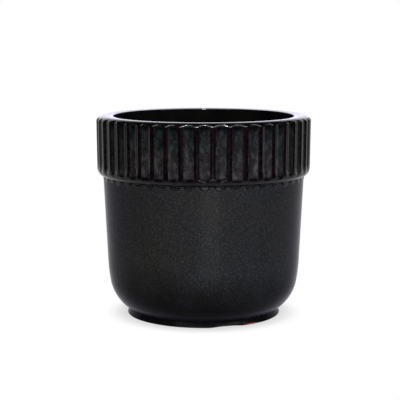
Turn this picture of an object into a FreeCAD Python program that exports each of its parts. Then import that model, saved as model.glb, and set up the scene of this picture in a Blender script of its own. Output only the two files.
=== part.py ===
"""Candle jar: a glazed stoneware pot with a fluted collar round its mouth.

Three clay forms (vessel_body, fluted_collar, foot_ring) carry three glass coats
(body_glaze, collar_glaze, liner_glaze). Millimetres and degrees, +Z up, with the origin
on the pot's axis where the foot stands on the table.
"""
import FreeCAD, Part
import math
import os

import Sketcher
from FreeCAD import Placement, Rotation, Vector

doc = FreeCAD.newDocument("CandleJar")

# --- driving dimensions: clay sizes, to which the glaze is added --------------------------

SIZES = (
    ("pot_height", 83.85, "table to rim"),
    ("body_radius", 41.85, "outside, just under the collar"),
    ("body_draft", 2.75, "lean of the side, degrees"),
    ("belly_radius", 71.25, "slow curve between the side and the heel"),
    ("belly_turn", 9.75, "slope where the belly meets the heel, degrees"),
    ("heel_radius", 16.95, "large rounding at the bottom of the side"),
    ("heel_turn", 55.8, "slope where the heel ends over the foot, degrees"),
    ("wall_thickness", 3.5, "clay wall"),
    ("floor_thickness", 4.7, "clay floor"),
    ("cavity_radius", 14.0, "rounding between the inside wall and the floor"),
    ("lip_radius", 1.0, "inner edge of the rim"),
    ("collar_stand", 2.8, "crest of the collar out from the body"),
    ("collar_depth", 21.85, "rim down to the centre of the collar's lower rounding"),
    ("collar_draft", 0.7, "lean of the collar, degrees"),
    ("shoulder_radius", 2.25, "rounding between the rim and the collar"),
    ("collar_edge_radius", 3.65, "rounding under the collar"),
    ("flute_count", 44, "flutes round the collar"),
    ("flute_radius", 3.74, "section of the carving tool"),
    ("flute_depth", 0.9, "depth of a flute below the crest"),
    ("foot_height", 3.3, "table to the underside of the floor"),
    ("foot_inset", 1.1, "heel's lower edge in to the top of the foot"),
    ("foot_flare", 1.0, "spread of the foot towards the table"),
    ("foot_width", 4.5, "thickness of the ring at the table"),
    ("foot_chamfer", 0.4, "bare bevel on both bottom edges of the foot"),
    ("glaze_thickness", 0.35, "glass coat, inside and outside"),
)

# The flutes run over the collar's two roundings, so these are turned as a few short cones:
# 44 flutes across a torus would take most of the model's facets.
ROUNDING_STEPS = 3


def stepped_rounding(name, centre, radius, start, end):
    """Cells for the corners on an arc about centre_r, centre_z, between its two ends."""
    cells = []
    for step in range(1, ROUNDING_STEPS):
        angle = f"({start} + (({end}) - ({start})) * {step} / {ROUNDING_STEPS})"
        cells.append((f"{name}_{step}_r", f"{centre}_r + {radius} * cos{angle}"))
        cells.append((f"{name}_{step}_z", f"{centre}_z + {radius} * sin{angle}"))
    return cells


def rounding_corners(name, steps):
    return [((f"{name}_{step}_r", f"{name}_{step}_z"),) for step in steps]


RISING = range(1, ROUNDING_STEPS)
FALLING = range(ROUNDING_STEPS - 1, 0, -1)

# --- worked-out places: sheet formulas over the driving dimensions -------------------------

LAYOUT = (
    # collar: shoulder centre, crest line, centre of the lower rounding, seat on the body
    ("shoulder_r", "Sizes.body_radius + Sizes.collar_stand - Sizes.shoulder_radius"),
    ("shoulder_z", "Sizes.pot_height - Sizes.shoulder_radius"),
    ("crest_top_r", "shoulder_r + Sizes.shoulder_radius * cos(Sizes.collar_draft)"),
    ("crest_top_z", "shoulder_z - Sizes.shoulder_radius * sin(Sizes.collar_draft)"),
    ("edge_z", "Sizes.pot_height - Sizes.collar_depth"),
    ("crest_low_z", "edge_z - Sizes.collar_edge_radius * sin(Sizes.collar_draft)"),
    ("crest_low_r", "crest_top_r - (crest_top_z - crest_low_z) * tan(Sizes.collar_draft)"),
    ("edge_r", "crest_low_r - Sizes.collar_edge_radius * cos(Sizes.collar_draft)"),
    ("seat_z", "edge_z - sqrt(Sizes.collar_edge_radius ^ 2 - (Sizes.body_radius - edge_r) ^ 2)"),
    ("seat_turn", "acos((Sizes.body_radius - edge_r) / Sizes.collar_edge_radius) / (1 deg)"),
    *stepped_rounding("shoulder_corner", "shoulder", "Sizes.shoulder_radius",
                      "-Sizes.collar_draft", "90"),
    *stepped_rounding("edge_corner", "edge", "Sizes.collar_edge_radius",
                      "-Sizes.collar_draft", "-seat_turn"),
    # side, belly and heel, which are tangent to each other
    ("heel_z", "Sizes.foot_height + Sizes.heel_radius * sin(Sizes.heel_turn)"),
    ("heel_top_z", "heel_z - Sizes.heel_radius * sin(Sizes.belly_turn)"),
    ("belly_z", "heel_top_z + Sizes.belly_radius * sin(Sizes.belly_turn)"),
    ("belly_top_z", "belly_z - Sizes.belly_radius * sin(Sizes.body_draft)"),
    ("belly_top_r", "Sizes.body_radius - (seat_z - belly_top_z) * tan(Sizes.body_draft)"),
    ("belly_r", "belly_top_r - Sizes.belly_radius * cos(Sizes.body_draft)"),
    ("heel_top_r", "belly_r + Sizes.belly_radius * cos(Sizes.belly_turn)"),
    ("heel_r", "heel_top_r - Sizes.heel_radius * cos(Sizes.belly_turn)"),
    ("heel_end_r", "heel_r + Sizes.heel_radius * cos(Sizes.heel_turn)"),
    # inside
    ("mouth_r", "Sizes.body_radius - Sizes.wall_thickness"),
    ("lip_r", "mouth_r + Sizes.lip_radius"),
    ("lip_z", "Sizes.pot_height - Sizes.lip_radius"),
    ("floor_z", "Sizes.foot_height + Sizes.floor_thickness"),
    ("cavity_z", "floor_z + Sizes.cavity_radius"),
    ("cavity_top_z", "cavity_z - Sizes.cavity_radius * sin(Sizes.body_draft)"),
    ("cavity_top_r", "mouth_r - (seat_z - cavity_top_z) * tan(Sizes.body_draft)"),
    ("cavity_r", "cavity_top_r - Sizes.cavity_radius * cos(Sizes.body_draft)"),
    # foot
    ("foot_top_r", "heel_end_r - Sizes.foot_inset"),
    ("foot_r", "foot_top_r + Sizes.foot_flare"),
    ("foot_edge_r", "foot_r - Sizes.foot_chamfer"),
    ("foot_bore_r", "foot_r - Sizes.foot_width"),
    ("foot_bore_edge_r", "foot_bore_r + Sizes.foot_chamfer"),
    # outer faces of the glaze, one thickness off the clay
    ("rim_coat_z", "Sizes.pot_height + Sizes.glaze_thickness"),
    ("shoulder_coat", "Sizes.shoulder_radius + Sizes.glaze_thickness"),
    ("crest_top_coat_r", "shoulder_r + shoulder_coat * cos(Sizes.collar_draft)"),
    ("crest_top_coat_z", "shoulder_z - shoulder_coat * sin(Sizes.collar_draft)"),
    ("edge_coat", "Sizes.collar_edge_radius + Sizes.glaze_thickness"),
    ("crest_low_coat_r", "edge_r + edge_coat * cos(Sizes.collar_draft)"),
    ("crest_low_coat_z", "edge_z - edge_coat * sin(Sizes.collar_draft)"),
    ("seat_coat_z", "edge_z - sqrt(edge_coat ^ 2 - (Sizes.body_radius - edge_r) ^ 2)"),
    ("seat_coat_turn", "acos((Sizes.body_radius - edge_r) / edge_coat) / (1 deg)"),
    *stepped_rounding("shoulder_coat_corner", "shoulder", "shoulder_coat",
                      "-Sizes.collar_draft", "90"),
    *stepped_rounding("edge_coat_corner", "edge", "edge_coat",
                      "-Sizes.collar_draft", "-seat_coat_turn"),
    ("side_coat_r", "Sizes.body_radius + (edge_z - seat_z) * tan(Sizes.body_draft)"
                    " + Sizes.glaze_thickness / cos(Sizes.body_draft)"),
    ("belly_coat", "Sizes.belly_radius + Sizes.glaze_thickness"),
    ("belly_top_coat_r", "belly_r + belly_coat * cos(Sizes.body_draft)"),
    ("belly_top_coat_z", "belly_z - belly_coat * sin(Sizes.body_draft)"),
    ("heel_coat", "Sizes.heel_radius + Sizes.glaze_thickness"),
    ("heel_top_coat_r", "heel_r + heel_coat * cos(Sizes.belly_turn)"),
    ("heel_top_coat_z", "heel_z - heel_coat * sin(Sizes.belly_turn)"),
    ("ledge_coat_z", "Sizes.foot_height - Sizes.glaze_thickness"),
    ("heel_end_coat_r", "heel_r + sqrt(heel_coat ^ 2 - (heel_z - ledge_coat_z) ^ 2)"),
    ("foot_top_coat_r", "foot_top_r + Sizes.glaze_thickness"),
    ("foot_coat_r", "foot_r + Sizes.glaze_thickness"),
    ("mouth_coat_r", "mouth_r - Sizes.glaze_thickness"),
    ("lip_coat", "Sizes.lip_radius + Sizes.glaze_thickness"),
    ("cavity_coat", "Sizes.cavity_radius - Sizes.glaze_thickness"),
    ("cavity_top_coat_r", "cavity_r + cavity_coat * cos(Sizes.body_draft)"),
    ("cavity_top_coat_z", "cavity_z - cavity_coat * sin(Sizes.body_draft)"),
    ("floor_coat_z", "floor_z + Sizes.glaze_thickness"),
    # carving tool: its axis leans with the crest and starts one tool radius above the rim
    ("tool_z", "Sizes.pot_height + Sizes.flute_radius"),
    ("tool_r", "cos(Sizes.collar_draft) * (crest_top_r - Sizes.flute_depth + Sizes.flute_radius"
               " + (tool_z - crest_top_z) * tan(Sizes.collar_draft))"),
    ("tool_coat", "Sizes.flute_radius - Sizes.glaze_thickness"),
)


def fill_sheet(name, rows):
    """A sheet of aliased cells: the alias in column A, the value or formula in column B."""
    sheet = doc.addObject("Spreadsheet::Sheet", name)
    for row, cells in enumerate(rows, start=1):
        sheet.set(f"A{row}", cells[0])
        sheet.set(f"B{row}", str(cells[1]))
        sheet.setAlias(f"B{row}", cells[0])
        if len(cells) > 2:
            sheet.set(f"C{row}", cells[2])
    doc.recompute()
    return sheet


sizes = fill_sheet("Sizes", SIZES)
layout = fill_sheet("Layout", [(alias, "=" + formula) for alias, formula in LAYOUT])
SIZE_NAMES = {row[0] for row in SIZES}


def number(alias):
    """The value of a cell, or 0 for a place on an axis."""
    if alias is None:
        return 0.0
    return float((sizes if alias in SIZE_NAMES else layout).get(alias))


def cell(alias):
    return ("Sizes." if alias in SIZE_NAMES else "Layout.") + alias


# --- sketch and body helpers ----------------------------------------------------------------

def origin_item(body, role):
    return next(item for item in body.Origin.OriginFeatures if item.Role == role)


def new_sketch(body, name, role):
    sketch = body.newObject("Sketcher::SketchObject", name)
    sketch.AttachmentSupport = [(origin_item(body, role), "")]
    sketch.MapMode = "FlatFace"
    return sketch


def bind(sketch, constraint, alias):
    """Add a dimensional constraint whose value is a sheet cell."""
    index = sketch.addConstraint(constraint)
    sketch.setExpression(f"Constraints[{index}]", cell(alias))


def pin_point(sketch, geometry, end, point):
    """Hold a point at its radius and height; None means that it lies on that axis."""
    radius, height = point
    if radius is None:
        sketch.addConstraint(Sketcher.Constraint("PointOnObject", geometry, end, -2))
    else:
        bind(sketch, Sketcher.Constraint("DistanceX", -1, 1, geometry, end, number(radius)), radius)
    if height is None:
        sketch.addConstraint(Sketcher.Constraint("PointOnObject", geometry, end, -1))
    else:
        bind(sketch, Sketcher.Constraint("DistanceY", -1, 1, geometry, end, number(height)), height)


def place(point):
    return Vector(number(point[0]), number(point[1]), 0)


def add_edge(sketch, start, end, centre=None, radius=None):
    """Add a line, or the short arc about centre; gives its index and its two ends in order."""
    if centre is None:
        return sketch.addGeometry(Part.LineSegment(place(start), place(end)), False), 1, 2
    spoke_a = place(start) - place(centre)
    spoke_b = place(end) - place(centre)
    angle_a = math.atan2(spoke_a.y, spoke_a.x)
    angle_b = math.atan2(spoke_b.y, spoke_b.x)
    forward = (angle_b - angle_a) % math.tau < math.pi
    first, last = (angle_a, angle_b) if forward else (angle_b, angle_a)
    circle = Part.Circle(place(centre), Vector(0, 0, 1), number(radius))
    index = sketch.addGeometry(Part.ArcOfCircle(circle, first, last), False)
    bind(sketch, Sketcher.Constraint("Radius", index, number(radius)), radius)
    return (index, 1, 2) if forward else (index, 2, 1)


def turned_body(name, outline):
    """A body turned about +Z from a closed outline of (point) or (point, centre, radius).

    Each entry gives the point where an edge ends, and the centre and radius if it is an arc.
    """
    body = doc.addObject("PartDesign::Body", name)
    sketch = new_sketch(body, name + "_outline", "XZ_Plane")
    points = [entry[0] for entry in outline]
    edges = []
    for index, entry in enumerate(outline):
        edges.append(add_edge(sketch, points[index - 1], *entry))
    for index, (geometry, start, _) in enumerate(edges):
        before, _, before_end = edges[index - 1]
        sketch.addConstraint(Sketcher.Constraint("Coincident", before, before_end, geometry, start))
        pin_point(sketch, geometry, start, points[index - 1])
    turn = body.newObject("PartDesign::Revolution", name + "_turn")
    turn.Profile = sketch
    turn.ReferenceAxis = (sketch, ["V_Axis"])
    turn.Angle = 360
    doc.recompute()
    return body


def carve_flutes(body, name, tool_radius):
    """Cut one flute with a leaning round tool, then repeat it round the axis."""
    sketch = new_sketch(body, name + "_tool", "XY_Plane")
    sketch.AttachmentOffset = Placement(
        Vector(0, 0, number("tool_z")), Rotation(Vector(0, 1, 0), number("collar_draft")))
    sketch.setExpression("AttachmentOffset.Base.z", cell("tool_z"))
    sketch.setExpression("AttachmentOffset.Rotation.Angle", cell("collar_draft"))
    centre = Vector(number("tool_r"), 0, 0)
    circle = sketch.addGeometry(Part.Circle(centre, Vector(0, 0, 1), number(tool_radius)), False)
    sketch.addConstraint(Sketcher.Constraint("PointOnObject", circle, 3, -1))
    bind(sketch, Sketcher.Constraint("DistanceX", -1, 1, circle, 3, centre.x), "tool_r")
    bind(sketch, Sketcher.Constraint("Radius", circle, number(tool_radius)), tool_radius)
    blank_volume = body.Shape.Volume
    flute = body.newObject("PartDesign::Pocket", name)
    flute.Profile = sketch
    flute.Type = "ThroughAll"
    doc.recompute()
    if body.Shape.Volume >= blank_volume:
        raise RuntimeError(name + " cut nothing")
    ring = body.newObject("PartDesign::PolarPattern", name + "_round")
    ring.Originals = [flute]
    ring.Axis = (origin_item(body, "Z_Axis"), [""])
    ring.Angle = 360
    ring.Occurrences = int(number("flute_count"))
    ring.setExpression("Occurrences", cell("flute_count"))
    body.Tip = ring
    doc.recompute()


def cut(name, base, tool):
    result = doc.addObject("Part::Cut", name)
    result.Base = base
    result.Tool = tool
    doc.recompute()
    return result


# --- clay -------------------------------------------------------------------------------------

def make_vessel_body():
    """Thrown wall and floor in one: heel, belly, leaning side, rim and inside."""
    return turned_body("vessel_body", [
        ((None, "foot_height"),),
        (("heel_end_r", "foot_height"),),
        (("heel_top_r", "heel_top_z"), ("heel_r", "heel_z"), "heel_radius"),
        (("belly_top_r", "belly_top_z"), ("belly_r", "belly_z"), "belly_radius"),
        (("body_radius", "seat_z"),),
        (("body_radius", "pot_height"),),
        (("lip_r", "pot_height"),),
        (("mouth_r", "lip_z"), ("lip_r", "lip_z"), "lip_radius"),
        (("mouth_r", "seat_z"),),
        (("cavity_top_r", "cavity_top_z"),),
        (("cavity_r", "floor_z"), ("cavity_r", "cavity_z"), "cavity_radius"),
        ((None, "floor_z"),),
    ])


def make_fluted_collar():
    """Proud band that seats on the body's wall, carved with hollow flutes."""
    body = turned_body("fluted_collar", [
        (("body_radius", "seat_z"),),
        *rounding_corners("edge_corner", FALLING),
        (("crest_low_r", "crest_low_z"),),
        (("crest_top_r", "crest_top_z"),),
        *rounding_corners("shoulder_corner", RISING),
        (("shoulder_r", "pot_height"),),
        (("body_radius", "pot_height"),),
    ])
    carve_flutes(body, "flute", "flute_radius")
    return body


def make_foot_ring():
    """Turned foot, flared towards the table, with both bottom edges bevelled."""
    return turned_body("foot_ring", [
        (("foot_top_r", "foot_height"),),
        (("foot_bore_r", "foot_height"),),
        (("foot_bore_r", "foot_chamfer"),),
        (("foot_bore_edge_r", None),),
        (("foot_edge_r", None),),
        (("foot_r", "foot_chamfer"),),
    ])


# --- glass coats --------------------------------------------------------------------------------

def make_body_glaze(collar):
    """Coat over side, belly, heel and foot, up to the underside of the collar."""
    blank = turned_body("body_coat", [
        (("foot_r", "foot_chamfer"),),
        (("foot_coat_r", "foot_chamfer"),),
        (("foot_top_coat_r", "ledge_coat_z"),),
        (("heel_end_coat_r", "ledge_coat_z"),),
        (("heel_top_coat_r", "heel_top_coat_z"), ("heel_r", "heel_z"), "heel_coat"),
        (("belly_top_coat_r", "belly_top_coat_z"), ("belly_r", "belly_z"), "belly_coat"),
        (("side_coat_r", "edge_z"),),
        (("body_radius", "edge_z"),),
        (("body_radius", "seat_z"),),
        (("belly_top_r", "belly_top_z"),),
        (("heel_top_r", "heel_top_z"), ("belly_r", "belly_z"), "belly_radius"),
        (("heel_end_r", "foot_height"), ("heel_r", "heel_z"), "heel_radius"),
        (("foot_top_r", "foot_height"),),
    ])
    return cut("body_glaze", blank, collar)


def make_collar_glaze(collar, body_glaze):
    """Coat over the rim, the shoulder, the flutes and the underside of the collar."""
    blank = turned_body("collar_coat", [
        (("body_radius", "seat_coat_z"),),
        *rounding_corners("edge_coat_corner", FALLING),
        (("crest_low_coat_r", "crest_low_coat_z"),),
        (("crest_top_coat_r", "crest_top_coat_z"),),
        *rounding_corners("shoulder_coat_corner", RISING),
        (("shoulder_r", "rim_coat_z"),),
        (("lip_r", "rim_coat_z"),),
        (("lip_r", "pot_height"),),
        (("body_radius", "pot_height"),),
    ])
    carve_flutes(blank, "glazed_flute", "tool_coat")
    return cut("collar_glaze", cut("collar_skin", blank, collar), body_glaze)


def make_liner_glaze():
    """Poured coat inside, from the floor up over the lip, that seals the clay."""
    return turned_body("liner_glaze", [
        ((None, "floor_coat_z"),),
        ((None, "floor_z"),),
        (("cavity_r", "floor_z"),),
        (("cavity_top_r", "cavity_top_z"), ("cavity_r", "cavity_z"), "cavity_radius"),
        (("mouth_r", "seat_z"),),
        (("mouth_r", "lip_z"),),
        (("lip_r", "pot_height"), ("lip_r", "lip_z"), "lip_radius"),
        (("lip_r", "rim_coat_z"),),
        (("mouth_coat_r", "lip_z"), ("lip_r", "lip_z"), "lip_coat"),
        (("mouth_coat_r", "seat_z"),),
        (("cavity_top_coat_r", "cavity_top_coat_z"),),
        (("cavity_r", "floor_coat_z"), ("cavity_r", "cavity_z"), "cavity_coat"),
    ])


# --- build, check, write --------------------------------------------------------------------------

vessel_body = make_vessel_body()
fluted_collar = make_fluted_collar()
foot_ring = make_foot_ring()
body_glaze = make_body_glaze(fluted_collar)
collar_glaze = make_collar_glaze(fluted_collar, body_glaze)
liner_glaze = make_liner_glaze()
pieces = (vessel_body, fluted_collar, foot_ring, body_glaze, collar_glaze, liner_glaze)

doc.recompute()
for item in doc.Objects:
    if "Invalid" in item.State or "Error" in item.State:
        raise RuntimeError(f"{item.Name} failed: {item.State}")
for piece in pieces:
    if piece.Shape.isNull() or not piece.Shape.isValid():
        raise RuntimeError(f"{piece.Label} has no valid shape")

os.makedirs("parts", exist_ok=True)
for piece in pieces:
    piece.Shape.exportStep(f"parts/{piece.Label}.step")
    box = piece.Shape.BoundBox
    print(f"{piece.Label}: {len(piece.Shape.Solids)} solid, {piece.Shape.Volume:.1f} mm3,"
          f" radius {box.XMax:.2f}, z {box.ZMin:.2f} to {box.ZMax:.2f}")
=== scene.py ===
"""Looks of the candle jar: three fired glaze coats over terracotta, on a white table in soft light."""

from math import acos, cos, degrees, hypot, pi, radians, sin, tan

import bpy
import numpy as np
from mathutils import Matrix, Vector


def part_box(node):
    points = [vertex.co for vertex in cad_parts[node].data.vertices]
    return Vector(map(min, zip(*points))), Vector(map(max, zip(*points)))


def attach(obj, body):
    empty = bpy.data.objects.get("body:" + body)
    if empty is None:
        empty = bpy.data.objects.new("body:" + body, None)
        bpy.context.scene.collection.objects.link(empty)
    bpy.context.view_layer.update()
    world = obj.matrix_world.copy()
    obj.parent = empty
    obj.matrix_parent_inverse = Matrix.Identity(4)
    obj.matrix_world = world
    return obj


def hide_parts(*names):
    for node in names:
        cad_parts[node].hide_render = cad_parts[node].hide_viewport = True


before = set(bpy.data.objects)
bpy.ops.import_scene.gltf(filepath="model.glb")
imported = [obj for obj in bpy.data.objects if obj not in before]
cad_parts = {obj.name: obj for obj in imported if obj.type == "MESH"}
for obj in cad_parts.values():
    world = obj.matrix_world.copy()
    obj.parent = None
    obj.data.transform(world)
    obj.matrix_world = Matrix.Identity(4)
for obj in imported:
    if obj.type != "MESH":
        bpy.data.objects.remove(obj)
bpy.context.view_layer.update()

MM = 0.001
SHARP_EDGE = radians(50)                 # faces that meet at more than this aren't shaded smoothly

# ---- sizes, in millimetres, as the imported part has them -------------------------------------
RIM_SAG = 0.1                            # the molten glaze sinks a little on the rim
RIM_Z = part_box("collar_glaze")[1].z / MM - RIM_SAG    # top of the glazed rim
COAT = 0.35                              # thickness of the fired glaze
CREST_RADIUS = 44.94                     # over the ridges of the collar, at its shoulder
RIM_MEETING_RADIUS = 39.35               # where the collar's coat meets the liner on the rim
SHOULDER_ACROSS, SHOULDER_DOWN = 3.4, 2.3             # the shoulder's rounding, flatter towards the rim
SHOULDER_CENTRE = (CREST_RADIUS - SHOULDER_ACROSS, RIM_Z - SHOULDER_DOWN)
RIM_CROWN_RADIUS, RIM_CROWN_DROP = SHOULDER_CENTRE[0], 0.1   # highest ring, and its fall to the meeting
COLLAR_DRAFT = 0.7                       # degrees; the collar leans in towards its lower edge
EDGE_RADIUS = 3.4                        # rounding under the collar
EDGE_CENTRE_Z = 62.2
BODY_DRAFT = 2.75                        # degrees; the side leans in towards the belly
BODY_TOP = (42.2, 58.26)                 # where the side comes out from under the collar
BELLY_CENTRE, BELLY_RADIUS = (-31.02, 26.51), 71.6
BELLY_TURN = 9.75                        # degrees below level where belly and heel meet
HEEL_CENTRE, HEEL_RADIUS = (22.50, 17.32), 17.3
HEEL_FOOT_RADIUS = 32.15                 # where the heel comes down on the ledge over the foot
LEDGE_Z = 2.95
FOOT_TOP_RADIUS, FOOT_LOW_RADIUS = 31.28, 32.28
FOOT_BORE_RADIUS, FOOT_BEVEL = 27.4, 0.3
FOOT_GLAZE_Z = 0.12                      # where the glaze stops above the table
# places round the foot, as degrees, half width in degrees, and height
BARE_FOOT = (36.0, 10.0, 0.6)            # the glaze stops higher and shows the clay
WORN_FOOT = (17.0, 15.0, 0.5)            # the foot stands clear of the table
MOUTH_RADIUS = 38.0
LIP_ROUNDING, LIP_TILT = 0.35, 11.0      # small rounding at the mouth's edge; degrees where it starts
MOUTH_STRAIGHT_Z = 58.5
CAVITY_CENTRE, CAVITY_RADIUS = (22.60, 22.0), 13.65

FLUTES = 44
FLUTE_DEPTH = 0.9
FLUTE_CUT_RADIUS = 3.39
# hand cutting leaves the flutes a little unevenly spaced: (times round, degrees, phase in degrees)
UNEVEN = ((1, 0.62, -81.0), (2, 0.71, -39.0), (3, 1.54, 156.0))


def arc(centre, radius, start, stop, steps):
    """Points (r, z) along an arc, from start to stop degrees, both ends included."""
    turns = np.radians(np.linspace(start, stop, steps + 1))
    return [(centre[0] + radius * cos(t), centre[1] + radius * sin(t)) for t in turns]


def line(a, b, steps):
    """Points (r, z) along a straight run, both ends included."""
    return [(a[0] + (b[0] - a[0]) * t, a[1] + (b[1] - a[1]) * t) for t in np.linspace(0, 1, steps + 1)]


def joined(*runs, apart=1e-4):
    """Runs of points as one line, without those nearer than apart to the point before."""
    points = []
    for run in runs:
        for p in run:
            if not points or hypot(p[0] - points[-1][0], p[1] - points[-1][1]) > apart:
                points.append(p)
    return np.array(points)


def smooth_step(low, high, x):
    """0 where x is low, 1 where it is high, smooth between them."""
    t = np.clip((np.asarray(x, float) - low) / (high - low), 0, 1)
    return t * t * (3 - 2 * t)


def soft_least(a, b, width):
    """The lesser of a and b, rounded over where they are within width of each other."""
    h = np.clip(width - np.abs(a - b), 0, None) / width
    return np.minimum(a, b) - h * h * width / 4


def inset(points, depth):
    """A line of (r, z) points moved by depth: inwards, where the line runs down the outside."""
    ahead = np.gradient(points, axis=0)
    ahead /= np.maximum(np.hypot(ahead[:, 0], ahead[:, 1]), 1e-9)[:, None]
    return points + depth * np.stack([ahead[:, 1], -ahead[:, 0]], axis=1)


def all_round(columns):
    """Directions in radians, evenly round the axis, from the front to the right."""
    return np.linspace(0, 2 * pi, columns, endpoint=False)


def rings_of_points(radii, heights, columns):
    """Points in millimetres, for each ring of a section and each direction round the Z axis."""
    shape = (len(radii), columns)
    turn = all_round(columns)
    r, z = np.broadcast_to(radii, shape), np.broadcast_to(heights, shape)
    return np.stack([r * np.sin(turn), -r * np.cos(turn), z], axis=2).reshape(-1, 3)


def bands(count, rings, columns):
    """Four-sided faces of count bands, each between one ring of points and the next."""
    row, column = np.meshgrid(np.arange(count), np.arange(columns), indexing="ij")
    below, beside = (row + 1) % rings, (column + 1) % columns
    corners = [row * columns + column, below * columns + column,
               below * columns + beside, row * columns + beside]
    return np.stack(corners, axis=2).reshape(-1, 4).tolist()


def ring_shell(name, radii, heights, columns, attributes=None):
    """A closed shell round the Z axis.

    radii and heights have a row for each ring of the section's loop and a column for each direction.
    An array of one column is the same all round.
    """
    rings = len(radii)
    points = rings_of_points(radii, heights, columns)
    return mesh_object(name, points, bands(rings, rings, columns), attributes)


def domed_shell(name, section, columns):
    """A closed shell whose section of (r, z) points starts and ends on the Z axis."""
    between = section[1:-1]
    poles = [[0, 0, section[0, 1]], [0, 0, section[-1, 1]]]
    points = np.concatenate([rings_of_points(between[:, :1], between[:, 1:], columns), poles])
    faces = bands(len(between) - 1, len(between), columns)
    last_ring = (len(between) - 1) * columns
    first_pole, last_pole = last_ring + columns, last_ring + columns + 1
    for c in range(columns):
        following = (c + 1) % columns
        faces.append([first_pole, c, following])
        faces.append([last_pole, last_ring + following, last_ring + c])
    return mesh_object(name, points, faces)


def mesh_object(name, points, faces, attributes=None):
    """A smooth mesh object in the scene, from points in millimetres.

    attributes are values for each point, by name.
    """
    mesh = bpy.data.meshes.new(name)
    mesh.from_pydata((points * MM).tolist(), [], faces)
    mesh.update()
    mesh.polygons.foreach_set("use_smooth", [True] * len(mesh.polygons))
    mesh.set_sharp_from_angle(angle=SHARP_EDGE)
    for key, values in (attributes or {}).items():
        layer = mesh.attributes.new(key, "FLOAT", "POINT")
        layer.data.foreach_set("value", np.ascontiguousarray(values, np.float32).ravel())
    piece = bpy.data.objects.new(name, mesh)
    bpy.context.scene.collection.objects.link(piece)
    return piece


# ---- the collar: ridges and flutes, run-out at the foot of each flute, and the glaze's tongues ----
COLLAR_COLUMNS = FLUTES * 18
RIDGE_ROUNDING = 0.9                     # how far the ridges' edges are rounded over
FILL_TOP, FILL_FOOT = 65.0, 61.0         # pooled glaze fills the foot of each flute
CUTTER_LIFTED = 3.0                      # keeps the cutter clear of the wall below the flutes
TONGUE_HALF_WIDTH, TONGUE_LENGTH = 2.4, 1.8
TONGUE_TOP_Z = 58.9
TONGUE_THICKNESS = 0.2
TONGUE_UNEVEN = 0.18                     # how much the tongues' lengths differ
TUCKED_IN = 0.1                          # between the tongues the coat ends under the body's glaze
CREASE_WIDTH, TONGUE_ROUNDING = 0.12, 0.6    # rounding where the collar meets the side, and at a tongue
EDGE_START_Z = EDGE_CENTRE_Z - EDGE_RADIUS * sin(radians(COLLAR_DRAFT))
# heights of the rings under the collar, closest together at the crease
UNDERSIDE_HEIGHTS = np.concatenate([np.linspace(EDGE_START_Z + 0.1, 60.0, 12), np.linspace(59.9, 58.3, 22),
                                    np.linspace(58.2, 56.4, 13)])

directions = all_round(COLLAR_COLUMNS)


def flute_offset(turn):
    """Angle, in radians, from the nearest flute's centre, and which flute it is.

    The hand-cut unevenness is in both.
    """
    shift = sum(size * np.cos(times * turn - radians(phase)) for times, size, phase in UNEVEN)
    pitch = 2 * pi / FLUTES
    t = turn - np.radians(shift) + pitch / 2
    return t % pitch - pitch / 2, np.floor(t / pitch) % FLUTES


offsets, flute_numbers = flute_offset(directions)
by_hand = np.sin(2.4 * flute_numbers)    # differs from flute to flute, between -1 and 1


def body_radius(z):
    return BODY_TOP[0] - (BODY_TOP[1] - z) * tan(radians(BODY_DRAFT))


def collar_crest(z):
    return CREST_RADIUS - (SHOULDER_CENTRE[1] - z) * tan(radians(COLLAR_DRAFT))


def cutter_radius(z):
    """Radius of the flutes' cut in each direction at height z."""
    axis = collar_crest(z) - FLUTE_DEPTH + FLUTE_CUT_RADIUS
    across = axis * np.sin(offsets)
    inside = np.clip(FLUTE_CUT_RADIUS ** 2 - across ** 2, 0, None)
    return axis * np.cos(offsets) - np.sqrt(inside)


def rim_height(r):
    inward = max(RIM_CROWN_RADIUS - r, 0) / (RIM_CROWN_RADIUS - RIM_MEETING_RADIUS)
    return RIM_Z - RIM_CROWN_DROP * inward ** 2


def tongue_at(z):
    """How much of the glaze's tongues there is in each direction at height z, from 0 to 1."""
    drop = np.clip(TONGUE_TOP_Z - z, 0, None) / (TONGUE_LENGTH * (1 + TONGUE_UNEVEN * by_hand))
    away = np.hypot(offsets * BODY_TOP[0] / TONGUE_HALF_WIDTH, drop)
    return smooth_step(0, 0.3, 1 - away)


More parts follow.
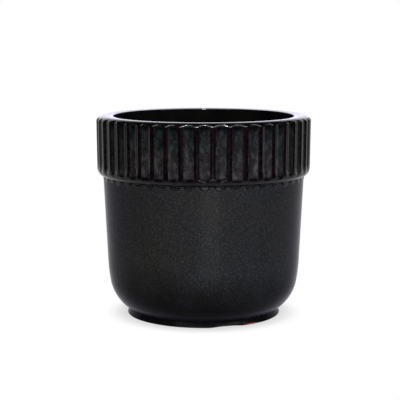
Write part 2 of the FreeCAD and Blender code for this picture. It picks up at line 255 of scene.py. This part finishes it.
def collar_rows(sink):
    """Radius and height of each ring of the collar's outside, sink millimetres under the glaze."""
    land = [(r, rim_height(r) - sink) for r in np.linspace(RIM_MEETING_RADIUS, SHOULDER_CENTRE[0], 5)]
    shoulder = [(SHOULDER_CENTRE[0] + (SHOULDER_ACROSS - sink) * cos(t),
                 SHOULDER_CENTRE[1] + (SHOULDER_DOWN - sink) * sin(t))
                for t in np.radians(np.linspace(90, -COLLAR_DRAFT, 28))]
    side = [(collar_crest(z) - sink, z) for z in np.linspace(shoulder[-1][1], EDGE_START_Z + 0.4, 13)[1:]]
    radii, heights = [], []
    for r, z in joined(land, shoulder, side):
        cut = cutter_radius(z) - sink + smooth_step(FILL_TOP, FILL_FOOT, z) * FLUTE_DEPTH
        radii.append(soft_least(np.full(COLLAR_COLUMNS, r), cut, RIDGE_ROUNDING))
        heights.append(np.full(COLLAR_COLUMNS, z))
    for z in UNDERSIDE_HEIGHTS:
        reach = np.clip(1 - ((EDGE_CENTRE_Z - z) / EDGE_RADIUS) ** 2, 0, None)
        rounded = collar_crest(EDGE_START_Z) - EDGE_RADIUS + EDGE_RADIUS * np.sqrt(reach)
        filled = smooth_step(FILL_TOP, FILL_FOOT, z)
        cut = cutter_radius(z) + filled * FLUTE_DEPTH + (CUTTER_LIFTED if filled == 1 else 0)
        under = soft_least(np.full(COLLAR_COLUMNS, rounded), cut, RIDGE_ROUNDING)
        tongue = tongue_at(z)
        skin = body_radius(z) - TUCKED_IN + (TUCKED_IN + TONGUE_THICKNESS) * tongue
        radii.append(-soft_least(-under, -skin, CREASE_WIDTH + TONGUE_ROUNDING * tongue) - sink)
        heights.append(np.full(COLLAR_COLUMNS, z))
    return np.array(radii), np.array(heights)


outer_r, outer_z = collar_rows(0.0)
inner_r, inner_z = collar_rows(COAT)
ring_z = outer_z[:, :1]
across = np.abs(offsets) * CREST_RADIUS  # millimetres from the middle of the nearest flute

# "hollow" is how deep a point lies in its flute, from 0 on the ridges to 1
HOLLOW_FOOT, HOLLOW_FADE = 61.2, 0.5     # where the flutes' colour ends
surface = np.minimum(collar_crest(ring_z), outer_r.max(axis=1, keepdims=True))
hollow = np.clip(surface - cutter_radius(ring_z), 0, FLUTE_DEPTH) / FLUTE_DEPTH
hollow *= smooth_step(HOLLOW_FOOT, HOLLOW_FOOT + HOLLOW_FADE, outer_z)

# dark marks: glaze pooled thick across the foot of each flute, and painted shade: the shoulder's
# shadow over each flute's top, the crease between the tongues, and the tongues' edges (with a dark glaze
# edge)
POOL_FOOT_Z, SHOULDER_SHADE_Z = 61.5, 81.9
DARK_REACH, DARK_HALF_WIDTH, DARK_FADE = 1.1, 2.2, 0.8
POOL_BOW, POOL_UNEVEN = 0.25, 0.2        # the lower pools curve up at their ends and differ in height
CREASE_Z = 58.75
CREASE_ABOVE, CREASE_FADE = 1.0, 0.5     # how far the painted shade reaches above that height, and its fade
CREASE_FROM, CREASE_FULL = 1.4, 2.0      # distances from the flute's middle


def dark_along(line_z, core):
    """Dark along a line at height line_z, full within core of it."""
    return smooth_step(DARK_REACH, core, np.abs(outer_z - line_z))


foot_line = POOL_FOOT_Z + POOL_UNEVEN * by_hand + POOL_BOW * (across / DARK_HALF_WIDTH) ** 2
in_flute = smooth_step(DARK_HALF_WIDTH, DARK_HALF_WIDTH - DARK_FADE, across)
pool_low = dark_along(foot_line, 0.25) * (0.9 + 0.1 * by_hand)
# painted shadow of the shoulder over the top of each flute
shoulder_shade = dark_along(SHOULDER_SHADE_Z, 0.3) * 0.9
# painted shadow in the crease under the ridges, between the tongues
crease_top = CREASE_Z + CREASE_ABOVE
crease_shade = smooth_step(crease_top, crease_top - CREASE_FADE, outer_z)
crease_shade = crease_shade * smooth_step(CREASE_FROM, CREASE_FULL, across)
# along the tongues' edges: a thin dark glaze edge, with painted contact shade
tongue = tongue_at(ring_z) * smooth_step(CREASE_Z, CREASE_Z - CREASE_FADE, outer_z)
crease_and_edge_shade = np.maximum(crease_shade, 3 * tongue * (1 - tongue))
# pooled glaze, and the painted shade with it
pool_and_shade = np.maximum(np.maximum(pool_low, shoulder_shade) * in_flute, crease_and_edge_shade)

# every fourth ring is enough on the coat's inside, which lies on the clay
coarse = np.unique(np.append(np.arange(0, len(outer_r), 4), len(outer_r) - 1))[::-1]
collar_glaze = ring_shell(
    "glaze_on_collar",
    np.concatenate([outer_r, inner_r[coarse]]), np.concatenate([outer_z, inner_z[coarse]]), COLLAR_COLUMNS,
    {"hollow": np.concatenate([hollow, hollow[coarse]]), "pool_and_shade": np.concatenate([pool_and_shade, pool_and_shade[coarse]])})

CLAY_GAP = 0.01                          # keeps the clay from touching the glaze
SEAT_RADIUS, SEAT_WALL = 41.86, 0.05     # the collar's seat on the body, and the least clay over it
CLAY_FOOT_Z = 58.5
clay_r, clay_z = collar_rows(COAT + CLAY_GAP)
keep = clay_z[:, 0] > CLAY_FOOT_Z
clay_r, clay_z = np.maximum(clay_r[keep][::2], SEAT_RADIUS + SEAT_WALL), clay_z[keep][::2]
collar_clay = ring_shell(
    "clay_collar",
    np.concatenate([clay_r, np.full(clay_r.shape, SEAT_RADIUS)]),
    np.concatenate([clay_z, clay_z[::-1]]), COLLAR_COLUMNS)

# ---- the body: side, belly, heel and foot -------------------------------------------------
BODY_COLUMNS = 480
BODY_GLAZE_TOP_Z = 59.2                  # hidden under the collar
LEDGE_ROUNDING, FOOT_EDGE_ROUNDING = 0.3, 0.28
WORN_HEIGHT = 0.8                        # the bare and worn places fade out this far under the ledge

side_foot = (BELLY_CENTRE[0] + BELLY_RADIUS * cos(radians(BODY_DRAFT)),
             BELLY_CENTRE[1] - BELLY_RADIUS * sin(radians(BODY_DRAFT)))
heel_end = -degrees(acos((HEEL_FOOT_RADIUS - HEEL_CENTRE[0]) / HEEL_RADIUS))
foot_side = ((FOOT_TOP_RADIUS + 0.02, LEDGE_Z - 0.4),      # clear of the roundings above and below it
             (FOOT_LOW_RADIUS - 0.03, FOOT_GLAZE_Z + 0.35))
foot_edge_centre = (FOOT_LOW_RADIUS - 0.25, FOOT_GLAZE_Z + 0.3)
body_outside = joined(
    line((body_radius(BODY_GLAZE_TOP_Z), BODY_GLAZE_TOP_Z), side_foot, 22),
    arc(BELLY_CENTRE, BELLY_RADIUS, -BODY_DRAFT, -BELLY_TURN, 14),
    arc(HEEL_CENTRE, HEEL_RADIUS, -BELLY_TURN, heel_end, 26),
    line((HEEL_FOOT_RADIUS, LEDGE_Z), (FOOT_TOP_RADIUS + LEDGE_ROUNDING, LEDGE_Z), 3),
    arc((FOOT_TOP_RADIUS + LEDGE_ROUNDING, LEDGE_Z - LEDGE_ROUNDING), LEDGE_ROUNDING, 90, 180, 5),
    line(*foot_side, 10),
    arc(foot_edge_centre, FOOT_EDGE_ROUNDING, 5, -90, 6))
body_loop = np.concatenate([body_outside, inset(body_outside, COAT)[::-1]])
body_turn = np.degrees(all_round(BODY_COLUMNS))


def foot_rise(place):
    """Height gained in each direction round a place on the foot."""
    middle, half_width, height = place
    away = np.abs((body_turn - middle + 180) % 360 - 180)
    return height * smooth_step(half_width, half_width * 0.2, away)


def low_on_foot(heights, lowest):
    """1 at the lowest height, and 0 from near the ledge upwards."""
    return smooth_step(LEDGE_Z - WORN_HEIGHT, lowest, heights)


glaze_rise = np.maximum(foot_rise(BARE_FOOT), foot_rise(WORN_FOOT))
body_heights = body_loop[:, 1:] + low_on_foot(body_loop[:, 1:], FOOT_GLAZE_Z) * glaze_rise
body_glaze = ring_shell("glaze_on_body", body_loop[:, :1], body_heights, BODY_COLUMNS)

clay_foot_top, clay_foot_low = FOOT_TOP_RADIUS - COAT, FOOT_LOW_RADIUS - COAT
foot_section = joined(
    line((clay_foot_top, LEDGE_Z), (clay_foot_low, FOOT_BEVEL), 6),
    line((clay_foot_low, FOOT_BEVEL), (clay_foot_low - FOOT_BEVEL, 0), 3),
    line((clay_foot_low - FOOT_BEVEL, 0), (FOOT_BORE_RADIUS + FOOT_BEVEL, 0), 4),
    line((FOOT_BORE_RADIUS + FOOT_BEVEL, 0), (FOOT_BORE_RADIUS, FOOT_BEVEL), 3),
    line((FOOT_BORE_RADIUS, FOOT_BEVEL), (FOOT_BORE_RADIUS, LEDGE_Z), 4))
foot_heights = foot_section[:, 1:] + low_on_foot(foot_section[:, 1:], 0) * foot_rise(WORN_FOOT)
foot = ring_shell("clay_foot", foot_section[:, :1], foot_heights, BODY_COLUMNS)

# ---- the liner: rim, mouth, cavity and floor ----------------------------------------------
LINER_COLUMNS = 440
BEHIND_APART = 0.1                       # least step on the liner's hidden side, which has tighter bends

cavity_top = (CAVITY_CENTRE[0] + CAVITY_RADIUS * cos(radians(BODY_DRAFT)),
              CAVITY_CENTRE[1] - CAVITY_RADIUS * sin(radians(BODY_DRAFT)))
floor_z = CAVITY_CENTRE[1] - CAVITY_RADIUS
lip_start = MOUTH_RADIUS + LIP_ROUNDING * (1 - sin(radians(LIP_TILT)))
lip_centre = (MOUTH_RADIUS + LIP_ROUNDING, rim_height(lip_start) - LIP_ROUNDING * cos(radians(LIP_TILT)))
liner_inside = joined(
    [(r, rim_height(r)) for r in np.linspace(RIM_MEETING_RADIUS, lip_start, 8)],
    arc(lip_centre, LIP_ROUNDING, 90 + LIP_TILT, 180, 12),
    line((MOUTH_RADIUS, lip_centre[1]), (MOUTH_RADIUS, MOUTH_STRAIGHT_Z), 14),
    line((MOUTH_RADIUS, MOUTH_STRAIGHT_Z), cavity_top, 20),
    arc(CAVITY_CENTRE, CAVITY_RADIUS, -BODY_DRAFT, -90, 24),
    line((CAVITY_CENTRE[0], floor_z), (0, floor_z), 8))
liner_behind = joined(inset(liner_inside, -COAT), apart=BEHIND_APART)
# its ends lie straight under the rim's meeting and the middle of the floor
liner_behind[0] = (RIM_MEETING_RADIUS, RIM_Z - RIM_CROWN_DROP - COAT)
liner_behind[-1] = (0, floor_z - COAT)
liner_glaze = domed_shell("glaze_inside", np.concatenate([liner_inside[::-1], liner_behind]), LINER_COLUMNS)

# ---- materials ----------------------------------------------------------------------------
# where the glazes' colours change, in metres: heights above the table
# the body's painted shade, blacker towards the foot, fades out between these heights
BODY_SHADED_BELOW, BODY_UNSHADED_ABOVE = 0.008, 0.026
TONGUES_BELOW, BAND_ABOVE = 0.0585, 0.0589
BAND_BELOW, RIDGES_ABOVE = 0.0608, 0.0617
FLUTES_LOW_BELOW, FLUTES_HIGH_ABOVE = 0.068, 0.080
# and distances in front of the jar's axis, or behind it
SIDE_WITHIN, FRONT_BEYOND = 0.020, 0.038


def srgb(*channels):
    """Linear colour for sRGB values from 0 to 255."""
    return tuple(c / 255 / 12.92 if c <= 10 else ((c / 255 + 0.055) / 1.055) ** 2.4
                 for c in channels) + (1.0,)


def set_inputs(node, **values):
    """Sets a node's inputs by name, with _ for a space."""
    for socket, value in values.items():
        node.inputs[socket.replace("_", " ")].default_value = value


class Paint:
    """One node material, built step by step."""

    def __init__(self, name, **settings):
        self.material = bpy.data.materials.new(name)
        self.material.use_nodes = True
        self.tree = self.material.node_tree
        self.shader = self.tree.nodes["Principled BSDF"]
        set_inputs(self.shader, **settings)
        self.place = self.add("ShaderNodeTexCoord").outputs["Object"]

    def add(self, kind, **values):
        """A new node, with values for its inputs."""
        node = self.tree.nodes.new(kind)
        set_inputs(node, **values)
        return node

    def link(self, source, target):
        self.tree.links.new(source, target)

    def noise(self, scale, detail=3.0, roughness=0.55, stretch=(1, 1, 1), shift=0.0):
        """Noise in the object's own space. scale is in patches for each metre."""
        mapping = self.add("ShaderNodeMapping", Scale=stretch, Location=(shift, shift, shift))
        self.link(self.place, mapping.inputs["Vector"])
        node = self.add("ShaderNodeTexNoise", Scale=scale, Detail=detail, Roughness=roughness)
        self.link(mapping.outputs["Vector"], node.inputs["Vector"])
        return node.outputs["Fac"]

    def ramp(self, source, *stops):
        """Colours or grey levels at positions from 0 to 1."""
        node = self.add("ShaderNodeValToRGB")
        bar = node.color_ramp
        while len(bar.elements) < len(stops):
            bar.elements.new(0.5)
        for element, (position, colour) in zip(bar.elements, stops):
            element.position = position
            element.color = colour if hasattr(colour, "__len__") else (colour, colour, colour, 1)
        self.link(source, node.inputs["Fac"])
        return node.outputs["Color"]

    def mix(self, share, a, b):
        """a where share is 0 and b where it is 1."""
        node = self.add("ShaderNodeMix")
        node.data_type = "RGBA"
        for value, key in ((share, 0), (a, 6), (b, 7)):
            if isinstance(value, bpy.types.NodeSocket):
                self.link(value, node.inputs[key])
            else:
                node.inputs[key].default_value = value
        return node.outputs[2]

    def calculate(self, operation, *sources):
        """What the math operation makes of its sources."""
        node = self.add("ShaderNodeMath")
        node.operation = operation
        for source, socket in zip(sources, node.inputs):
            self.link(source, socket)
        return node.outputs["Value"]

    def span(self, source, low, high, out_low=0.0, out_high=1.0):
        """source from low to high, as out_low to out_high, and held there outside that."""
        node = self.add("ShaderNodeMapRange", From_Min=low, From_Max=high, To_Min=out_low, To_Max=out_high)
        self.link(source, node.inputs["Value"])
        return node.outputs["Result"]

    def along(self, axis):
        """The place along X, Y or Z, in metres."""
        split = self.add("ShaderNodeSeparateXYZ")
        self.link(self.place, split.inputs["Vector"])
        return split.outputs[axis]

    def wander(self, source, reach):
        """Height above the table in metres, moved up and down by a pattern, by reach at most."""
        return self.calculate("ADD", self.along("Z"), self.span(source, 0.3, 0.7, -reach, reach))

    def attribute(self, name):
        """A value that the mesh carries at its points."""
        node = self.add("ShaderNodeAttribute")
        node.attribute_name = name
        return node.outputs["Fac"]

    def finish(self, colour, roughness, bump):
        """The finished material. bump is its pattern, strength and height in metres."""
        self.link(colour, self.shader.inputs["Base Color"])
        self.link(roughness, self.shader.inputs["Roughness"])
        source, strength, distance = bump
        node = self.add("ShaderNodeBump", Strength=strength, Distance=distance)
        self.link(source, node.inputs["Height"])
        self.link(node.outputs["Normal"], self.shader.inputs["Normal"])
        return self.material


def clay_material():
    """Fired terracotta with darker grit."""
    p = Paint("terracotta")
    body = p.ramp(p.noise(260, 4), (0.3, srgb(150, 78, 48)), (0.7, srgb(196, 118, 80)))
    grit = p.noise(2400, 2, shift=3.1)
    colour = p.mix(p.ramp(grit, (0.62, 0.0), (0.72, 0.6)), body, srgb(96, 52, 36))
    return p.finish(colour, p.span(p.noise(900, 3), 0.3, 0.7, 0.75, 0.95), (p.noise(1500, 5), 0.4, 0.0002))


def satin_material():
    """Speckled satin glaze on the body, with painted shade that makes it blacker towards the foot."""
    p = Paint("satin black glaze", IOR=1.5, Specular_IOR_Level=0.02,
              Sheen_Weight=0.1, Sheen_Roughness=0.35, Sheen_Tint=(0.55, 0.5, 1.0, 1))
    cloud = p.noise(45, 3, shift=1.7)
    upper_glaze = p.ramp(cloud, (0.35, srgb(44, 43, 41)), (0.65, srgb(40, 41, 45)))
    shaded_glaze = p.ramp(cloud, (0.35, srgb(12, 12, 13)), (0.65, srgb(13, 14, 17)))
    # painted shade: the glaze and its specks darker towards the foot
    above_shade = p.span(p.wander(cloud, 0.004), BODY_SHADED_BELOW, BODY_UNSHADED_ABOVE)
    specks = p.ramp(p.noise(2200, 3, shift=5.3), (0.48, 0.0), (0.75, 0.55))
    speck_colour = p.mix(above_shade, srgb(34, 33, 34), srgb(94, 94, 94))
    colour = p.mix(specks, p.mix(above_shade, shaded_glaze, upper_glaze), speck_colour)
    return p.finish(colour, p.span(p.noise(700, 3), 0.3, 0.7, 0.19, 0.26),
                    (p.noise(2200, 3, shift=2.0), 0.2, 0.0001))


def gloss_material():
    """Gloss glaze on the collar: mottled in the flutes, plum where it thins over the ridges."""
    p = Paint("gloss black glaze", IOR=1.5, Specular_IOR_Level=0.09)
    mottle = p.noise(430, 5, 0.65, stretch=(1, 1, 0.55), shift=0.9)
    patch = p.noise(150, 3, stretch=(1, 1, 0.6), shift=6.1)

    # in the flutes, at the front: high up and low down, and painted shade, darker and olive, at the sides
    high = p.ramp(mottle, (0.3, srgb(10, 15, 17)), (0.5, srgb(21, 28, 30)), (0.68, srgb(46, 60, 64)))
    low = p.ramp(mottle, (0.3, srgb(30, 27, 29)), (0.5, srgb(50, 48, 50)), (0.68, srgb(92, 90, 92)))
    side_shade = p.ramp(mottle, (0.3, srgb(8, 10, 6)), (0.5, srgb(14, 16, 12)), (0.68, srgb(37, 39, 33)))
    flute = p.mix(p.span(p.wander(patch, 0.008), FLUTES_LOW_BELOW, FLUTES_HIGH_ABOVE), low, high)
    # painted shade: the flutes turn darker towards the sides, where they face away from the light
    from_side = p.calculate("ABSOLUTE", p.along("Y"))
    flute = p.mix(p.span(from_side, SIDE_WITHIN, FRONT_BEYOND), side_shade, flute)
    flute = p.mix(p.ramp(patch, (0.35, 0.6), (0.6, 0.0)), flute, srgb(14, 16, 14))
    flute = p.mix(p.ramp(p.noise(1900, 2, shift=4.4), (0.5, 0.0), (0.75, 0.32)), flute, srgb(92, 90, 92))

    # on the ridges, on the band under them and on the tongues
    ridge = p.ramp(p.noise(600, 3, shift=2.2), (0.35, srgb(8, 6, 8)), (0.7, srgb(28, 17, 22)))
    band = p.ramp(mottle, (0.3, srgb(27, 24, 28)), (0.7, srgb(48, 44, 48)))
    tongues = p.ramp(mottle, (0.3, srgb(30, 29, 31)), (0.7, srgb(50, 48, 50)))
    edge = p.mix(p.span(p.along("Z"), BAND_BELOW, RIDGES_ABOVE), band, ridge)
    edge = p.mix(p.span(p.along("Z"), TONGUES_BELOW, BAND_ABOVE), tongues, edge)

    # the flutes' colour stops at a ragged edge; pooled glaze and the painted shade are nearly black
    runs = p.span(p.noise(700, 2, stretch=(1, 1, 3), shift=7.7), 0.3, 0.7, -0.14, 0.1)
    ragged = p.calculate("ADD", p.attribute("hollow"), runs)
    colour = p.mix(p.ramp(ragged, (0.08, 0.0), (0.2, 1.0)), edge, flute)
    colour = p.mix(p.span(p.attribute("pool_and_shade"), 0.0, 1.0, 0.0, 0.95), colour, srgb(4, 4, 6))
    return p.finish(colour, p.span(p.noise(500, 3), 0.3, 0.7, 0.10, 0.20),
                    (p.noise(900, 3, shift=2.0), 0.1, 0.0001))


def liner_material():
    """Smooth gloss glaze inside."""
    p = Paint("liner black glaze", IOR=1.5, Specular_IOR_Level=0.12)
    colour = p.ramp(p.noise(120, 4, shift=0.4), (0.3, srgb(9, 9, 10)), (0.7, srgb(17, 18, 15)))
    return p.finish(colour, p.span(p.noise(500, 3), 0.3, 0.7, 0.04, 0.08),
                    (p.noise(500, 2, shift=2.0), 0.05, 0.0001))


clay = clay_material()
gloss = gloss_material()
satin = satin_material()
liner = liner_material()

for piece, material, slot, node in (
        (collar_glaze, gloss, "gloss_glaze", "collar_glaze"),
        (collar_clay, clay, "clay", "fluted_collar"),
        (body_glaze, satin, "satin_glaze", "body_glaze"),
        (foot, clay, "clay", "foot_ring"),
        (liner_glaze, liner, "liner_glaze", "liner_glaze")):
    piece.data.materials.append(material)
    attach(piece, "root")
    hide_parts(node)
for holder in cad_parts["vessel_body"].material_slots:
    holder.material = clay

# ---- stage: a white floor, and a white sweep that the world makes ---------------------------
FLOOR_RADIUS, FLOOR_SIDES = 1.6, 96
FLOOR_FRONT = 0.056                      # the white table ends this far in front of the jar's axis
SHADOWED_FLOOR = 0.62                    # the floor's own brightness next to the jar
SHADOW_REACH = (0.031, 0.043)            # distances from the axis between which the shadow ends
CLOTH_RADIUS, CLOTH_RINGS, CLOTH_COLUMNS = 1.6, 24, 48
CLOTH_AXIS = 40                          # degrees up from the front to the middle of the tent
CLOTH_INNER_ANGLE, CLOTH_OUTER_ANGLE = 2, 100    # degrees from that axis
WORLD_LIGHT = 0.5


def white_where_seen(tree, lighting, output, white):
    """Shows the white shader to the camera and in reflections, and the other one to diffuse light."""
    path = tree.nodes.new("ShaderNodeLightPath")
    seen = path.outputs["Is Camera Ray"]
    for kind in ("Is Glossy Ray", "Is Transmission Ray"):
        either = tree.nodes.new("ShaderNodeMath")
        either.operation = "MAXIMUM"
        tree.links.new(seen, either.inputs[0])
        tree.links.new(path.outputs[kind], either.inputs[1])
        seen = either.outputs["Value"]
    mix = tree.nodes.new("ShaderNodeMixShader")
    tree.links.new(seen, mix.inputs["Fac"])
    tree.links.new(lighting, mix.inputs[1])
    tree.links.new(white, mix.inputs[2])
    tree.links.new(mix.outputs["Shader"], output)


def floor_material():
    """White all over, with only the jar's own soft shadow kept round its foot."""
    p = Paint("white floor", Base_Color=(0.5, 0.5, 0.5, 1), Roughness=0.9, Specular_IOR_Level=0.0)
    glow = p.add("ShaderNodeEmission", Strength=SHADOWED_FLOOR)
    matt = p.add("ShaderNodeBsdfDiffuse", Color=(0.3, 0.3, 0.3, 1))
    near = p.add("ShaderNodeAddShader")
    p.link(glow.outputs["Emission"], near.inputs[0])
    p.link(matt.outputs["BSDF"], near.inputs[1])
    away = p.add("ShaderNodeVectorMath")
    away.operation = "LENGTH"
    p.link(p.place, away.inputs[0])
    fade = p.add("ShaderNodeMapRange", From_Min=SHADOW_REACH[0], From_Max=SHADOW_REACH[1])
    fade.interpolation_type = "SMOOTHSTEP"
    p.link(away.outputs["Value"], fade.inputs["Value"])
    far = p.add("ShaderNodeEmission", Strength=1.0)
    table = p.add("ShaderNodeMixShader")
    p.link(fade.outputs["Result"], table.inputs["Fac"])
    p.link(near.outputs["Shader"], table.inputs[1])
    p.link(far.outputs["Emission"], table.inputs[2])
    surface = p.tree.nodes["Material Output"].inputs["Surface"]
    white_where_seen(p.tree, p.shader.outputs["BSDF"], surface, table.outputs["Shader"])
    return p.material


def cloth_material():
    """Dark cloth with no shine."""
    p = Paint("dark cloth", Base_Color=(0.03, 0.03, 0.03, 1), Roughness=1.0, Specular_IOR_Level=0.0)
    return p.material


def stage_piece(name, points, faces, material):
    """A mesh object that belongs to the picture and not to the jar."""
    mesh = bpy.data.meshes.new(name)
    mesh.from_pydata(points, [], faces)
    piece = bpy.data.objects.new(name, mesh)
    bpy.context.scene.collection.objects.link(piece)
    mesh.materials.append(material)
    return piece


floor_points = [(FLOOR_RADIUS * cos(t), FLOOR_RADIUS * (1 + sin(t)) - FLOOR_FRONT, 0)
                for t in all_round(FLOOR_SIDES)]
stage_piece("floor", floor_points, [list(range(FLOOR_SIDES))], floor_material())

# a tent of dark cloth in front of the jar and above it, which black gloss needs so as not to look grey
tilt = Matrix.Rotation(radians(90 - CLOTH_AXIS), 4, "X")
cloth_points = []
for out in np.radians(np.linspace(CLOTH_INNER_ANGLE, CLOTH_OUTER_ANGLE, CLOTH_RINGS)):
    wide, high = CLOTH_RADIUS * sin(out), CLOTH_RADIUS * cos(out)
    cloth_points += [tuple(tilt @ Vector((wide * cos(t), wide * sin(t), high)))
                     for t in all_round(CLOTH_COLUMNS)]
cloth_faces = bands(CLOTH_RINGS - 1, CLOTH_RINGS, CLOTH_COLUMNS) + [list(range(CLOTH_COLUMNS))]
cloth = stage_piece("dark_cloth", cloth_points, cloth_faces, cloth_material())
cloth.visible_camera = False

world = bpy.data.worlds.new("studio")
world.use_nodes = True
bpy.context.scene.world = world
world_tree = world.node_tree
sky = world_tree.nodes["Background"]
set_inputs(sky, Color=(1, 1, 1, 1), Strength=WORLD_LIGHT)
sweep = world_tree.nodes.new("ShaderNodeBackground")
set_inputs(sweep, Color=(1, 1, 1, 1), Strength=1.0)
white_where_seen(world_tree, sky.outputs["Background"],
                 world_tree.nodes["World Output"].inputs["Surface"], sweep.outputs["Background"])

# ---- lights ---------------------------------------------------------------------------------
JAR_MIDDLE = (0, 0, 0.045)
WHITE, BLUE, VIOLET = (1, 1, 1), (0.45, 0.6, 1.0), (0.75, 0.72, 1.0)


def around(azimuth, elevation, distance):
    """A place seen from the jar: azimuth in degrees to the right of the camera's side, then elevation."""
    a, e = radians(azimuth), radians(elevation)
    return (distance * sin(a) * cos(e), -distance * cos(a) * cos(e), JAR_MIDDLE[2] + distance * sin(e))


def softbox(name, place, size, power, colour):
    """A lamp that faces the jar, with its width and height in metres and its power in watts."""
    data = bpy.data.lights.new(name, "AREA")
    data.shape = "RECTANGLE"
    data.size, data.size_y = size
    data.energy = power
    data.color = colour
    lamp = bpy.data.objects.new(name, data)
    lamp.location = place
    lamp.rotation_euler = (Vector(JAR_MIDDLE) - Vector(place)).to_track_quat("-Z", "Y").to_euler()
    bpy.context.scene.collection.objects.link(lamp)
    return lamp


# these light the jar softly, and aren't seen in reflections
for name, place, size, power, colour in (
        ("fill", around(4, 19, 1.2), (0.6, 0.6), 11.0, WHITE),
        ("cool_side", around(62, 20, 1.2), (0.5, 0.5), 2.0, BLUE)):
    softbox(name, place, size, power, colour).visible_glossy = False
# these are seen only in reflections
for name, place, size, power in (
        ("key", around(-2.5, 55, 1.2), (0.1, 0.1), 30.0),
        ("sweep", around(10, 54, 1.2), (2.3, 0.4), 76.0),
        ("strip", around(6.3, -14, 0.9), (0.325, 0.2), 1.2)):
    softbox(name, place, size, power, WHITE).visible_diffuse = False
softbox("backdrop", around(180, 12, 1.3), (1.0, 0.5), 1.6, VIOLET)

# ---- camera ---------------------------------------------------------------------------------
CAMERA_DISTANCE = 0.545
CAMERA_HEIGHT = 0.1258
CAMERA_TURN = radians(1.15)              # round the jar's axis, to meet the flutes as they stand
CAMERA_PITCH = radians(8.136)
CAMERA_ASIDE = -0.0015
CAMERA_LENS, SENSOR_WIDTH = 116.95, 36.0     # millimetres

camera_data = bpy.data.cameras.new("camera")
camera_data.lens, camera_data.sensor_width = CAMERA_LENS, SENSOR_WIDTH
camera = bpy.data.objects.new("camera", camera_data)
camera.location = (-CAMERA_DISTANCE * sin(CAMERA_TURN) + CAMERA_ASIDE * cos(CAMERA_TURN),
                   -CAMERA_DISTANCE * cos(CAMERA_TURN) - CAMERA_ASIDE * sin(CAMERA_TURN), CAMERA_HEIGHT)
camera.rotation_euler = (pi / 2 - CAMERA_PITCH, 0, -CAMERA_TURN)
bpy.context.scene.collection.objects.link(camera)
bpy.context.scene.camera = camera

bpy.context.scene.view_settings.view_transform = "Standard"
